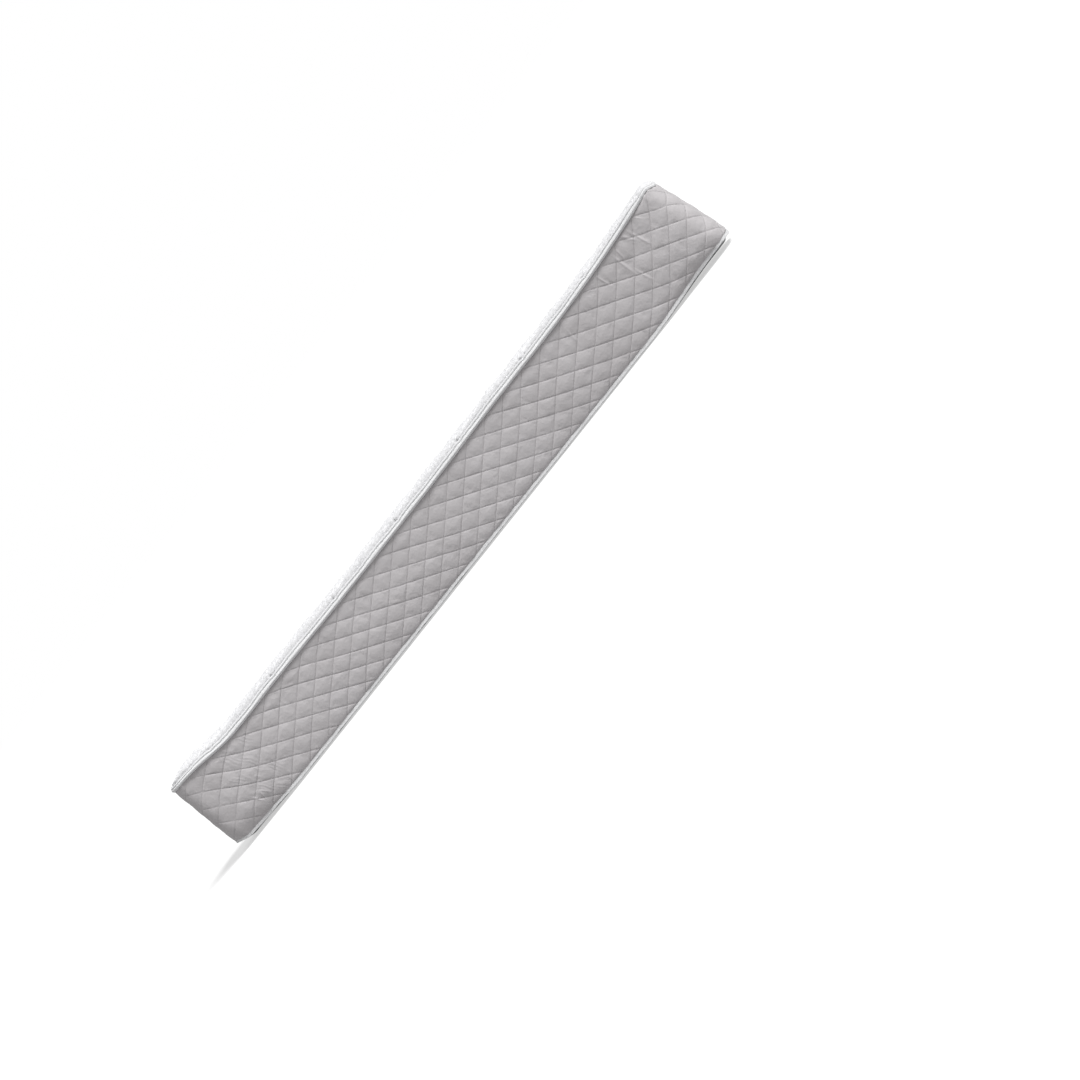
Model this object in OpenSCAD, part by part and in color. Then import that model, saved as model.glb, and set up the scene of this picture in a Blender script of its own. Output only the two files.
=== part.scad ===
// Padded bed rail: a foam core in a quilted, washable cover that zips up along the back.
// X runs along the bar, the front faces -Y, and the bar stands on z 0 with its middle over the origin.

/* [Bar] */
// Length over the stitched faces of both ends
bar_length = 2000; // [600:10:2200]
// Depth over the stitched faces of front and back
bar_depth = 160; // [110:5:300]
// Height from the bottom seam to the top seam at mid length
seam_height = 212; // [150:2:300]
// Radius of the four upright corners
corner_radius = 45; // [25:1:50]
// Height of the bottom seam over the ground at mid length
seam_lift = 5; // [5:0.5:20]
// How far the top seam climbs towards the ends
top_rise = 26; // [0:1:40]
// How far the bottom seam climbs towards the ends
bottom_rise = 12; // [0:1:20]

/* [Quilting] */
// Length of one quilted diamond
diamond_length = 77; // [50:1:120]
// Height of one quilted diamond
diamond_height = 53; // [36:1:90]
// Height of the lowest row of crossings over a strip's lower edge
first_row = 14; // [8:1:24]
// How far a diamond of the border puffs out
border_puff = 4.5; // [2:0.5:10]
// Length of one large diamond of the top panel
top_diamond = 245; // [120:5:400]
// How far a diamond of the top panel puffs out
top_puff = 5; // [1:0.5:10]
// Height of the top panel's crown over its seam
top_crown = 20; // [4:1:30]
// Width of the slope from the bottom panel's seam to its flat
bottom_slope = 34; // [15:1:40]

/* [Layers] */
// Thickness of the face cloth
cloth = 1; // [0.6:0.1:1.5]
// Thickness of the wadding along a line of stitches
wadding = 2; // [1:0.1:4]
// Thickness of the lining cloth
lining = 0.5; // [0.3:0.1:1]
// Play between two layers
layer_gap = 0.1; // [0.05:0.05:0.2]

/* [Edge tape] */
// How far the top tape reaches down the border
tape_drop = 8; // [6:0.5:14]
// How far the bottom tape reaches up the border
tape_climb = 4; // [3.6:0.1:8]
// How far the tape reaches in over the panel
tape_reach = 12; // [8:0.5:16]
// How far the tape stands out from the border
tape_bulge = 6; // [3:0.5:9]
// How far the tape stands up over the top seam
tape_stand = 9; // [4:0.5:12]
// How far the tape hangs below the bottom seam
tape_hang = 4; // [3:0.5:4.5]
// Play between the tape and the cloth that it binds
tape_fit = 0.3; // [0.2:0.05:0.5]

/* [Zip] */
// Height of the zip over the ground
zip_height = 110; // [90:1:130]
// Distance from each end of the zip to the corner beside it
zip_inset = 55; // [20:1:200]
// Height of the slot between the two back strips
zip_slot = 13; // [12:0.5:18]
// Width of one zip tape
zip_tape_w = 16; // [12:0.5:20]
// Thickness of a zip tape
zip_tape_t = 0.8; // [0.5:0.1:1.2]
// Gap between the two rows of teeth
row_gap = 1.2; // [1:0.1:1.6]
// Width of one row of teeth
row_w = 2.6; // [2:0.1:3.4]
// Height of the teeth over the tape
row_h = 2.2; // [1.6:0.1:2.6]
// Length of an end stop
stop_length = 4; // [3:0.5:6]

/* [Slider] */
// Length of the slider
slider_length = 14; // [12:0.5:18]
// Width of the slider
slider_w = 10; // [9.5:0.1:10.6]
// Thickness of the slider's plates
plate = 1.2; // [0.9:0.1:1.5]
// Play between the slider and the zip
slider_fit = 0.25; // [0.15:0.05:0.3]
// Thickness of the post between the slider's plates
post_t = 0.7; // [0.5:0.05:0.8]
// Length of the pull from its pin to its tip
pull_length = 27; // [16:1:40]
// Width of the pull
pull_w = 6.4; // [5.6:0.1:8]
// Thickness of the pull
pull_t = 1.2; // [0.9:0.1:1.5]
// Radius of the pull's pin
pin_radius = 0.75; // [0.6:0.05:0.8]
// Play between the pin and its bore
pin_fit = 0.05; // [0.03:0.01:0.08]
// Width of the lug that holds the pin
lug_w = 2.4; // [2:0.1:2.6]
// Wall of the lug around its bore
lug_wall = 0.85; // [0.7:0.05:1]

/* [Hidden] */
$fn = 32;

// Straight half lengths between the corners, and the height where each layer begins under the stitches
half_x = bar_length / 2 - corner_radius;
half_y = bar_depth / 2 - corner_radius;
under_cloth = -cloth;
under_wadding = under_cloth - wadding;
under_lining = under_wadding - lining;
core_in = under_lining - layer_gap;
panel_in = tape_reach + tape_fit;
edge_puff = 0.4;
s45 = sin(45);

// Length of the zip
zip_length = 2 * (half_x - zip_inset);

// The back's stitched face, and how far out from it the zip's tapes, teeth, slider and pin lie
zip_y = bar_depth / 2;
zip_out = core_in;
zip_in = zip_out - zip_tape_t;
teeth_out = zip_out + row_h;
plate_out = teeth_out + slider_fit + plate;
lug_r = pin_radius + pin_fit + lug_wall;
pin_n = plate_out + lug_r - 0.2;
pull_gap = 0.2;
slider_x = zip_length / 2 - stop_length - 1 - slider_length / 2;

// Counts of half diamonds along the front and each end, and of quarter diamonds along and across a panel
front_n = 2 * round(2 * half_x / diamond_length);
end_n = max(1, round(4 * half_y / diamond_length));
panel_along = 4 * max(1, round(2 * half_x / top_diamond));
panel_across = 4;

// Heights of the two seams, which climb towards the ends of the bar
function top_seam(x) = seam_lift + seam_height + top_rise * pow(abs(x) / half_x, 3);
function bottom_seam(x) = seam_lift + bottom_rise * pow(abs(x) / half_x, 3);

// One station of the outline: the middle of its corner arc, and the way it faces
function along(x0, x1, count) = [for (i = [0 : count]) x0 + (x1 - x0) * i / count];
function around(count) = concat(
    [[-half_x, half_y, 0, 1], [-half_x, half_y, -s45, s45]],
    [for (y = along(half_y, -half_y, end_n)) [-half_x, y, -1, 0]],
    [[-half_x, -half_y, -s45, -s45]],
    [for (x = along(-half_x, half_x, count)) [x, -half_y, 0, -1]],
    [[half_x, -half_y, s45, -s45]],
    [for (y = along(-half_y, half_y, end_n)) [half_x, y, 1, 0]],
    [[half_x, half_y, s45, s45], [half_x, half_y, 0, 1]]);
function behind(count, in) =
    [for (x = along(half_x - in, -half_x + in, count)) [x, half_y, 0, 1]];
function out(s, n, z) =
    [s[0] + (corner_radius + n) * s[2], s[1] + (corner_radius + n) * s[3], z];

// A quilted grid is low on the stitches, where its two counts add up to an even number, and puffs up between
function on_edge(i, j, ni, nj) = i == 0 || j == 0 || i == ni || j == nj;
function puff(i, j, ni, nj) =
    (i + j) % 2 == 0 ? 0 : on_edge(i, j, ni, nj) ? edge_puff : 1;

// Rows of an upright piece as shares of its height: both edges, and the rows of crossings between them
half_h = diamond_height / 2;
function border_rows(h) = concat([0],
    [for (k = [0 : floor((h - first_row - 4) / half_h)]) (first_row + k * half_h) / h], [1]);
function strip_rows(h) = along(0, 1, max(2, floor(h / half_h)));

// Grid of points on an upright layer, n outwards from the stitches, between two heights of each station
function wall_grid(st, low, high, row, n, rise) = let (ni = len(st) - 1, nj = len(row) - 1)
    [for (s = [0 : ni]) [for (j = [0 : nj])
        let (z = low(st[s][0]) + (high(st[s][0]) - low(st[s][0])) * row[j])
        out(st[s], n + rise * puff(s, j, ni, nj), z)]];

// Stations along a panel: the seam's place along the bar, the panel's own place, and its half width there
function panel_stations(in) = let (r = corner_radius - in) concat(
    [[-half_x, -half_x - r, half_y], [-half_x, -half_x - r * s45, half_y + r * s45]],
    [for (x = along(-half_x, half_x, panel_along)) [x, x, half_y + r]],
    [[half_x, half_x + r * s45, half_y + r * s45], [half_x, half_x + r, half_y]]);
function crown(i, j, ni, nj) = sin(90 * min(1, min(i, ni - i) / 3)) * pow(sin(180 * j / nj), 0.7);
// The large diamonds fill the panel's width: p and q count them along and across it
function pillow(p, q) = abs(sin(180 * (p + q)) * sin(180 * (p - q)));
function top_grid(nj, n, lift, rise) = let (st = panel_stations(panel_in), ni = len(st) - 1)
    [for (i = [0 : ni]) [for (j = [0 : nj]) [st[i][1], st[i][2] * (2 * j / nj - 1),
        top_seam(st[i][0]) + n + lift * crown(i, j, ni, nj)
        + rise * pillow((i - 2) / 4, j / nj) * (on_edge(i, j, ni, nj) ? edge_puff : 1)]]];
// The bottom panel slopes from its seam to the ground, over three strips
function sloped(i, j, ni) = j == 0 || j == 3 ? 1 : i == 0 || i == ni ? 1 : i == 1 || i == ni - 1 ? 0.5 : 0;
function bottom_grid(n) = let (st = panel_stations(panel_in), ni = len(st) - 1)
    [for (i = [0 : ni]) [for (j = [0 : 3]) [st[i][1],
        (st[i][2] - (j == 1 || j == 2 ? min(bottom_slope, 0.5 * st[i][2]) : 0)) * (j < 2 ? 1 : -1),
        n + bottom_seam(st[i][0]) * sloped(i, j, ni)]]];
function flat_grid(in, low, n, side) = [for (s = panel_stations(in))
    [[s[1], -side * s[2], low(s[0]) + n], [s[1], side * s[2], low(s[0]) + n]]];

// Closed solid between an outer and an inner grid; the inner one has as many columns, or only its two edges
module layer(outer, inner) {
    ni = len(outer) - 1;
    nj = len(outer[0]) - 1;
    mj = len(inner[0]) - 1;
    first = (ni + 1) * (nj + 1);
    function f(i, j) = i * (nj + 1) + j;
    function b(i, j) = first + i * (mj + 1) + j;
    faces_out = [for (i = [0 : ni - 1], j = [0 : nj - 1], t = [0, 1]) (i + j) % 2 == 0
        ? (t == 0 ? [f(i, j), f(i + 1, j + 1), f(i + 1, j)] : [f(i, j), f(i, j + 1), f(i + 1, j + 1)])
        : (t == 0 ? [f(i, j), f(i, j + 1), f(i + 1, j)] : [f(i + 1, j), f(i, j + 1), f(i + 1, j + 1)])];
    faces_in = [for (i = [0 : ni - 1], j = [0 : mj - 1], t = [0, 1]) (i + j) % 2 == 0
        ? (t == 0 ? [b(i, j), b(i + 1, j), b(i + 1, j + 1)] : [b(i, j), b(i + 1, j + 1), b(i, j + 1)])
        : (t == 0 ? [b(i, j), b(i + 1, j), b(i, j + 1)] : [b(i + 1, j), b(i + 1, j + 1), b(i, j + 1)])];
    sides = [for (i = [0 : ni - 1], t = [0 : 3])
        t == 0 ? [b(i, 0), f(i, 0), f(i + 1, 0)] : t == 1 ? [b(i, 0), f(i + 1, 0), b(i + 1, 0)]
        : t == 2 ? [b(i, mj), f(i + 1, nj), f(i, nj)] : [b(i, mj), b(i + 1, mj), f(i + 1, nj)]];
    whole_ends = [concat([for (j = [0 : mj]) b(0, j)], [for (j = [nj : -1 : 0]) f(0, j)]),
        concat([for (j = [mj : -1 : 0]) b(ni, j)], [for (j = [0 : nj]) f(ni, j)])];
    strip_ends = [for (j = [0 : nj - 1], t = [0 : 3])
        t == 0 ? [b(0, j), b(0, j + 1), f(0, j + 1)] : t == 1 ? [b(0, j), f(0, j + 1), f(0, j)]
        : t == 2 ? [b(ni, j), f(ni, j + 1), b(ni, j + 1)] : [b(ni, j), f(ni, j), f(ni, j + 1)]];
    polyhedron(concat([for (r = outer) each r], [for (r = inner) each r]),
        concat(faces_out, faces_in, sides, mj == nj ? strip_ends : whole_ends));
}

// Heights between which the border and the two back strips are sewn
function border_low(x) = bottom_seam(x) + tape_climb + tape_fit;
function border_high(x) = top_seam(x) - tape_drop - tape_fit;
function slot_high(x) = zip_height + zip_slot / 2;
function slot_low(x) = zip_height - zip_slot / 2;

// Three layers of an upright quilted piece: part 0 is the cloth, 1 the wadding and 2 the lining
module wall_layer(st, low, high, row, part) {
    if (part == 0)
        layer(wall_grid(st, low, high, row, 0, border_puff),
            wall_grid(st, low, high, row, under_cloth, border_puff));
    if (part == 1)
        layer(wall_grid(st, low, high, row, under_cloth - layer_gap, border_puff),
            wall_grid(st, low, high, [0, 1], under_wadding + layer_gap, 0));
    if (part == 2)
        layer(wall_grid(st, low, high, [0, 1], under_wadding, 0),
            wall_grid(st, low, high, [0, 1], under_lining, 0));
}

module border(part) {
    wall_layer(around(front_n), function(x) border_low(x), function(x) border_high(x),
        border_rows(border_high(0) - border_low(0)), part);
}

module back_upper(part) {
    wall_layer(behind(front_n, layer_gap), function(x) slot_high(x), function(x) border_high(x),
        strip_rows(border_high(0) - slot_high(0)), part);
}

module back_lower(part) {
    wall_layer(behind(front_n, layer_gap), function(x) border_low(x), function(x) slot_low(x),
        strip_rows(slot_low(0) - border_low(0)), part);
}

module border_cloth() { color("gainsboro") border(0); }
module border_wadding() { color("white") border(1); }
module border_lining() { color("whitesmoke") border(2); }
module back_upper_cloth() { color("gainsboro") back_upper(0); }
module back_upper_wadding() { color("white") back_upper(1); }
module back_upper_lining() { color("whitesmoke") back_upper(2); }
module back_lower_cloth() { color("gainsboro") back_lower(0); }
module back_lower_wadding() { color("white") back_lower(1); }
module back_lower_lining() { color("whitesmoke") back_lower(2); }

module top_cloth() {
    color("white")
        layer(top_grid(panel_across, 0, top_crown, top_puff),
            top_grid(panel_across, under_cloth, top_crown, top_puff));
}

module top_wadding() {
    color("white")
        layer(top_grid(panel_across, under_cloth - layer_gap, top_crown, top_puff),
            top_grid(1, under_wadding + layer_gap, 0, 0));
}

module top_lining() {
    color("whitesmoke")
        layer(top_grid(1, under_wadding, 0, 0), top_grid(1, under_lining, 0, 0));
}

// The ground presses the cloth flat where the bar rests
module bottom_cloth() {
    color("white")
        difference() {
            layer(bottom_grid(-0.4 * cloth), bottom_grid(cloth));
            translate([-bar_length, -bar_depth, -10])
                cube([2 * bar_length, 2 * bar_depth, 10]);
        }
}

module bottom_wadding() {
    color("white")
        layer(bottom_grid(cloth + layer_gap),
            flat_grid(panel_in, function(x) bottom_seam(x), -under_wadding - layer_gap, -1));
}

module bottom_lining() {
    color("whitesmoke")
        layer(flat_grid(panel_in, function(x) bottom_seam(x), -under_wadding, -1),
            flat_grid(panel_in, function(x) bottom_seam(x), -under_lining, -1));
}

// Block of foam, with a shallow channel where the zip and its slider press into the back
module foam_core() {
    channel_h = row_gap + 2 * zip_tape_w + 2;
    channel_in = zip_in - slider_fit - plate - 1;
    color("khaki")
        difference() {
            layer(flat_grid(-core_in, function(x) top_seam(x), core_in, 1),
                flat_grid(-core_in, function(x) bottom_seam(x), -core_in, 1));
            translate([-zip_length / 2 - 2, bar_depth / 2 + channel_in, zip_height - channel_h / 2])
                cube([zip_length + 4, bar_depth, channel_h]);
        }
}

// Folded tape over the raw edges of a seam, as n outwards and z upwards from the seam's corner
tape_inner = under_lining + tape_fit;
function tape_section(stand, drop) = [[tape_inner, -drop], [0.5 * tape_bulge, -drop],
    [tape_bulge, -0.6 * drop], [1.1 * tape_bulge, 0], [0.7 * tape_bulge, 0.6 * stand],
    [-0.1 * tape_reach, stand], [-0.75 * tape_reach, stand], [-tape_reach, 0.5 * stand],
    [-tape_reach, tape_inner], [tape_inner, tape_inner]];

module edge_tape(seam, up, stand, drop) {
    rings = concat(around(round(front_n / 4)),
        [for (i = [1 : round(front_n / 4) - 1]) behind(round(front_n / 4), 0)[i]]);
    n = len(rings);
    section = tape_section(stand, drop);
    m = len(section);
    points = [for (s = rings, p = section) out(s, p[0], seam(s[0]) + up * p[1])];
    function q(i, j) = (i % n) * m + j % m;
    faces = [for (i = [0 : n - 1], j = [0 : m - 1], t = [0, 1])
        let (a = q(i, j), b = q(i + 1, j), c = q(i + 1, j + 1), d = q(i, j + 1))
        up > 0 ? (t == 0 ? [a, c, b] : [a, d, c]) : (t == 0 ? [a, b, c] : [a, c, d])];
    polyhedron(points, faces);
}

module top_edge_tape() { color("white") edge_tape(function(x) top_seam(x), 1, tape_stand, tape_drop); }
module bottom_edge_tape() {
    color("white") edge_tape(function(x) bottom_seam(x), -1, tape_hang, tape_climb);
}

// The zip lies behind the linings of the back strips; side is 1 above its middle line and -1 below
module zip_box(x0, x1, n0, n1, z0, z1, side) {
    translate([x0, zip_y + n0, zip_height + (side > 0 ? z0 : -z1)])
        cube([x1 - x0, n1 - n0, z1 - z0]);
}

module zip_tape(side) {
    zip_box(-zip_length / 2, zip_length / 2, zip_in, zip_out, row_gap / 2, row_gap / 2 + zip_tape_w, side);
}

module zip_teeth(side) {
    reach = zip_length / 2 - stop_length;
    zip_box(-reach, reach, zip_out, teeth_out, row_gap / 2, row_gap / 2 + row_w, side);
}

module zip_tape_upper() { color("lightgray") zip_tape(1); }
module zip_tape_lower() { color("lightgray") zip_tape(-1); }
module zip_teeth_upper() { color("silver") zip_teeth(1); }
module zip_teeth_lower() { color("silver") zip_teeth(-1); }

// Stops at both ends of each row, a little wider than the teeth
module zip_stops() {
    color("silver")
        for (side = [-1, 1], x = [-zip_length / 2, zip_length / 2 - stop_length])
            zip_box(x, x + stop_length, zip_out, teeth_out + 0.4,
                row_gap / 2, row_gap / 2 + row_w + 0.3, side);
}

// Cloth tabs that close the slot from the ends of the zip to the seams at the corners
module zip_end_tabs() {
    color("gainsboro")
        for (x = [-half_x + layer_gap, zip_length / 2 + layer_gap])
            translate([x, zip_y + under_lining, zip_height - zip_slot / 2 + layer_gap])
                cube([half_x - zip_length / 2 - 2 * layer_gap, -under_lining, zip_slot - 2 * layer_gap]);
}

module slider_plan() {
    c = slider_w / 2;
    l = slider_length / 2;
    polygon([[-l, -0.7 * c], [-0.8 * l, -c], [0.5 * l, -c], [l, -0.5 * c],
        [l, 0.5 * c], [0.5 * l, c], [-0.8 * l, c], [-l, 0.7 * c]]);
}

module on_back(x, n) {
    translate([x, zip_y + n, zip_height])
        rotate([-90, 0, 0])
            children();
}

// Two plates joined by a post, side rails that hold the tapes, and a bored lug for the pull
module zip_slider() {
    rail = row_gap / 2 + row_w + slider_fit;
    color("silver") {
        difference() {
            union() {
                on_back(slider_x, teeth_out + slider_fit)
                    linear_extrude(plate)
                        slider_plan();
                on_back(slider_x, zip_in - slider_fit - plate)
                    linear_extrude(plate)
                        slider_plan();
                for (side = [-1, 1])
                    zip_box(slider_x - 0.8 * slider_length / 2, slider_x + 0.5 * slider_length / 2,
                        zip_out + slider_fit, teeth_out + slider_fit, rail, slider_w / 2, side);
                zip_box(slider_x + 0.3 * slider_length / 2, slider_x + 0.9 * slider_length / 2,
                    zip_in - slider_fit, teeth_out + slider_fit, -post_t / 2, post_t / 2, 1);
                zip_box(slider_x - lug_r, slider_x + lug_r, plate_out, pin_n, -lug_w / 2, lug_w / 2, 1);
                translate([slider_x, zip_y + pin_n, zip_height - lug_w / 2])
                    cylinder(r = lug_r, h = lug_w);
            }
            translate([slider_x, zip_y + pin_n, zip_height - slider_w / 2])
                cylinder(r = pin_radius + pin_fit, h = slider_w);
        }
    }
}

// Pin through the lug, an arm at each end of it, and the tab that lies along the closed zip
module zip_pull() {
    clear = 1.42 * lug_r + pull_gap;
    arm = (pull_w - lug_w) / 2 - pull_gap;
    color("silver")
        union() {
            translate([slider_x, zip_y + pin_n, zip_height - pull_w / 2])
                cylinder(r = pin_radius, h = pull_w);
            for (side = [-1, 1]) {
                translate([slider_x, zip_y + pin_n, zip_height + side * (pull_w / 2 - arm / 2) - arm / 2])
                    cylinder(r = pin_radius + 0.4, h = arm);
                translate([slider_x - clear - 1, zip_y + pin_n - pull_t / 2,
                        zip_height + side * (pull_w / 2 - arm / 2) - arm / 2])
                    cube([clear + 1, pull_t, arm]);
            }
            on_back(slider_x, pin_n - pull_t / 2)
                linear_extrude(pull_t)
                    union() {
                        translate([-pull_length + pull_w / 2, -pull_w / 2])
                            square([pull_length - pull_w / 2 - clear, pull_w]);
                        translate([-pull_length + pull_w / 2, 0])
                            circle(r = pull_w / 2);
                    }
        }
}

foam_core();
border_cloth();
border_wadding();
border_lining();
top_cloth();
top_wadding();
top_lining();
bottom_cloth();
bottom_wadding();
bottom_lining();
back_upper_cloth();
back_upper_wadding();
back_upper_lining();
back_lower_cloth();
back_lower_wadding();
back_lower_lining();
top_edge_tape();
bottom_edge_tape();
zip_tape_upper();
zip_tape_lower();
zip_teeth_upper();
zip_teeth_lower();
zip_stops();
zip_end_tabs();
zip_slider();
zip_pull();
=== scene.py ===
# %% [markdown]
# # A padded bed rail
# This is a soft bar, two metres long, that lies along the side of a bed. A foam core fills a cover of
# quilted cloth: a border round the sides, a white panel on top, a folded tape along both edges, and a zip
# along the back. The imported CAD model gives each piece its place. Blender gives it the look of cloth:
# pillows between the stitches, wrinkles, weave and thread. We load the model first.

# %% Load the imported model
import math
import bmesh
import bpy
import numpy as np
from mathutils import Matrix, Vector


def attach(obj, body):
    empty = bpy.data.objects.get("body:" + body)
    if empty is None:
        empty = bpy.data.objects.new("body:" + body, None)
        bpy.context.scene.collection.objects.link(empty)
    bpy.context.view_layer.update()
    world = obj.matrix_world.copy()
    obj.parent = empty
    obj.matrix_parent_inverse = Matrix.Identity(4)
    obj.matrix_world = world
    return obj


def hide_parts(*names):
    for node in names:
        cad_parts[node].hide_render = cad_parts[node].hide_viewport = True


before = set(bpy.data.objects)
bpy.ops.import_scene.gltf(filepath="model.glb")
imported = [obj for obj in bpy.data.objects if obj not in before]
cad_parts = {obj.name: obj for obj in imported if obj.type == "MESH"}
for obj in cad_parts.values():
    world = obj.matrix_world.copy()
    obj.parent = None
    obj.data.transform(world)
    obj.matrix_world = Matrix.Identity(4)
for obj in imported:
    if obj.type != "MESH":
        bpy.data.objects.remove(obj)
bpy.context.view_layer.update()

scene = bpy.context.scene
scene.view_settings.view_transform = "Standard"

# %% [markdown]
# ## Camera
# The bar is seen from in front, a little from its right end and a little from above, through a long lens.
# In the picture it lies on a slant, so the camera is rolled. A camera could be aimed with a constraint, but
# a roll is plainer as a matrix: its columns are the camera's right, its up, and the way back to it from the
# object.

# %% Camera
AZIMUTH, ELEVATION, ROLL = math.radians(9.0), math.radians(6.0), math.radians(52.25)
DISTANCE, METRES_PER_PIXEL = 8.0, 0.002544
PICTURE_PIXELS, SENSOR_MM = 1080, 36
PIXELS_RIGHT, PIXELS_UP = 93.45, -22.85
BAR_MIDDLE = Vector((0, 0, 0.125))
level_back = Vector((math.sin(AZIMUTH), -math.cos(AZIMUTH), 0))
back = math.cos(ELEVATION) * level_back + Vector((0, 0, math.sin(ELEVATION)))
level = Vector((math.cos(AZIMUTH), math.sin(AZIMUTH), 0))
upright = back.cross(level)
right = math.cos(ROLL) * level - math.sin(ROLL) * upright
up = math.sin(ROLL) * level + math.cos(ROLL) * upright
aim = BAR_MIDDLE + METRES_PER_PIXEL * (PIXELS_RIGHT * right + PIXELS_UP * up)
lens = bpy.data.cameras.new("camera")
lens.sensor_width = SENSOR_MM
lens.lens = SENSOR_MM * DISTANCE / (PICTURE_PIXELS * METRES_PER_PIXEL)
lens.clip_end = 200
camera = bpy.data.objects.new("camera", lens)
camera.matrix_world = Matrix((right, up, back)).transposed().to_4x4()
camera.location = aim + DISTANCE * back
scene.collection.objects.link(camera)
scene.camera = camera
print("lens %.0f mm" % lens.lens)

# %% [markdown]
# ## Light
# The picture has one broad light above the bar and to its right: the top is bright, the right end is paler
# than the front, and the front lies in soft shade. An area lamp would fade along two metres of bar. A sun
# lamp with a very wide disc is as soft, and alike along the whole bar, and an even world fills the rest.
# The world shows white to the camera, but gives less light than it shows, so that the front stays in shade.

# %% Node helpers
def joined(tree, kind, operation=None, **sockets):
    """A node of that kind whose numbered or named sockets (s0, s1, or a name) hold values or take links."""
    node = tree.nodes.new(kind)
    if operation:
        node.operation = operation
    for key, value in sockets.items():
        by_number = key[0] == "s" and key[1:].isdigit()
        socket = node.inputs[int(key[1:]) if by_number else key.replace("_", " ")]
        if isinstance(value, bpy.types.NodeSocket):
            tree.links.new(value, socket)
        else:
            socket.default_value = value
    return node


def maths(tree, operation, first, *others):
    """One operation on a number or socket, or carried from left to right over several of them."""
    result = first
    for other in others or (0.0,):
        result = joined(tree, "ShaderNodeMath", operation, s0=result, s1=other).outputs[0]
    return result


def seen_by_eye(tree):
    """1 for a ray from the camera, or one that came by a mirror or glass, and 0 for any other: the largest
    of three flags."""
    rays = tree.nodes.new("ShaderNodeLightPath").outputs
    kinds = ("Is Camera Ray", "Is Glossy Ray", "Is Transmission Ray")
    return maths(tree, "MAXIMUM", *(rays[kind] for kind in kinds))


def two_looks(tree, output, others_see, eye_sees):
    """Ends a node tree with one shader for the light and another for the eye."""
    mixed = joined(tree, "ShaderNodeMixShader", s0=seen_by_eye(tree), s1=others_see.outputs[0],
                   s2=eye_sees.outputs[0])
    joined(tree, output, s0=mixed.outputs[0])


# %% World and lamp
WHITE = (1, 1, 1, 1)
FILL_LIGHT, LAMP_POWER, LAMP_WIDTH = 0.39, 0.95 * math.pi, math.radians(22)
LAMP_FROM = Vector((0.55, -0.30, 0.78)).normalized()
world = bpy.data.worlds.new("studio")
world.use_nodes = True
scene.world = world
tree = world.node_tree
tree.nodes.clear()
fill_light = joined(tree, "ShaderNodeBackground", s0=WHITE, s1=FILL_LIGHT)
white_wall = joined(tree, "ShaderNodeBackground", s0=WHITE, s1=1.0)
two_looks(tree, "ShaderNodeOutputWorld", fill_light, white_wall)
lamp = bpy.data.lights.new("skylight", "SUN")
lamp.angle, lamp.energy = LAMP_WIDTH, LAMP_POWER
skylight = bpy.data.objects.new("skylight", lamp)
skylight.location = 5 * LAMP_FROM
skylight.rotation_euler = LAMP_FROM.to_track_quat("Z", "Y").to_euler()
scene.collection.objects.link(skylight)
print("sun lamp %.0f degrees wide" % math.degrees(lamp.angle))

# %% [markdown]
# ## Floor
# The bar lies on white paper. Real white paper would throw a lot of light up at the front, so the camera
# sees a bright floor, lifted by a little light of its own, and all other rays meet a duller one.

# %% Floor
FLOOR_HALF, FLOOR_Z = 60, -0.0004
CORNER_SIGNS = ((-1, -1), (1, -1), (1, 1), (-1, 1))
floor_mesh = bpy.data.meshes.new("floor")
floor_points = [(FLOOR_HALF * x, FLOOR_HALF * y, FLOOR_Z) for x, y in CORNER_SIGNS]
floor_mesh.from_pydata(floor_points, [], [(0, 1, 2, 3)])
floor = bpy.data.objects.new("floor", floor_mesh)
scene.collection.objects.link(floor)
paper = bpy.data.materials.new("pale_floor")
paper.use_nodes = True
tree = paper.node_tree
tree.nodes.clear()
dull = joined(tree, "ShaderNodeBsdfDiffuse", s0=(0.42, 0.42, 0.42, 1))
pale = joined(tree, "ShaderNodeBsdfDiffuse", s0=(0.50, 0.50, 0.50, 1))
lift = joined(tree, "ShaderNodeEmission", s0=WHITE, s1=0.55)
bright = joined(tree, "ShaderNodeAddShader", s0=pale.outputs[0], s1=lift.outputs[0])
two_looks(tree, "ShaderNodeOutputMaterial", dull, bright)
floor_mesh.materials.append(paper)

# %% [markdown]
# ## The outline
# Every piece follows the same outline: a long rectangle with round corners, whose two seams climb a little
# towards the ends. Each piece could be bent by modifiers of its own, but neighbours would then have to
# agree. We write the outline down once, as functions that take whole arrays, so that each piece is later
# one call on a grid.

# %% Outline and seams
HALF_X, HALF_Y, CORNER = 0.955, 0.035, 0.045
ARC = CORNER * math.pi / 2
FRONT_END, END_START, END_END = HALF_X, HALF_X + ARC, HALF_X + ARC + 2 * HALF_Y
BACK_START = END_END + ARC
HALF_ROUND = BACK_START + HALF_X
TOP_SEAM_Z, BOTTOM_SEAM_Z = 0.2155, 0.0075


def eased(u):
    """0 below 0, 1 above 1, and a smooth step between."""
    u = np.clip(u, 0, 1)
    return u * u * (3 - 2 * u)


def top_seam(x):
    """Height of the top seam: level along the middle, with a low swell right of it, a slow climb to the
    right end, and a short steep one at the left with a small dip before it."""
    climb = 0.033 * np.clip(x / HALF_X, 0, 1) ** 3.4
    climb = climb + 0.0245 * eased((-x - 0.76) / 0.21) + 0.004 * eased((-x - 0.3) / 0.3)
    swell, dip = 0.0045 * np.exp(-((x - 0.33) / 0.2) ** 2), 0.001 * np.exp(-((x + 0.72) / 0.06) ** 2)
    return TOP_SEAM_Z + climb + swell - dip


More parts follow.
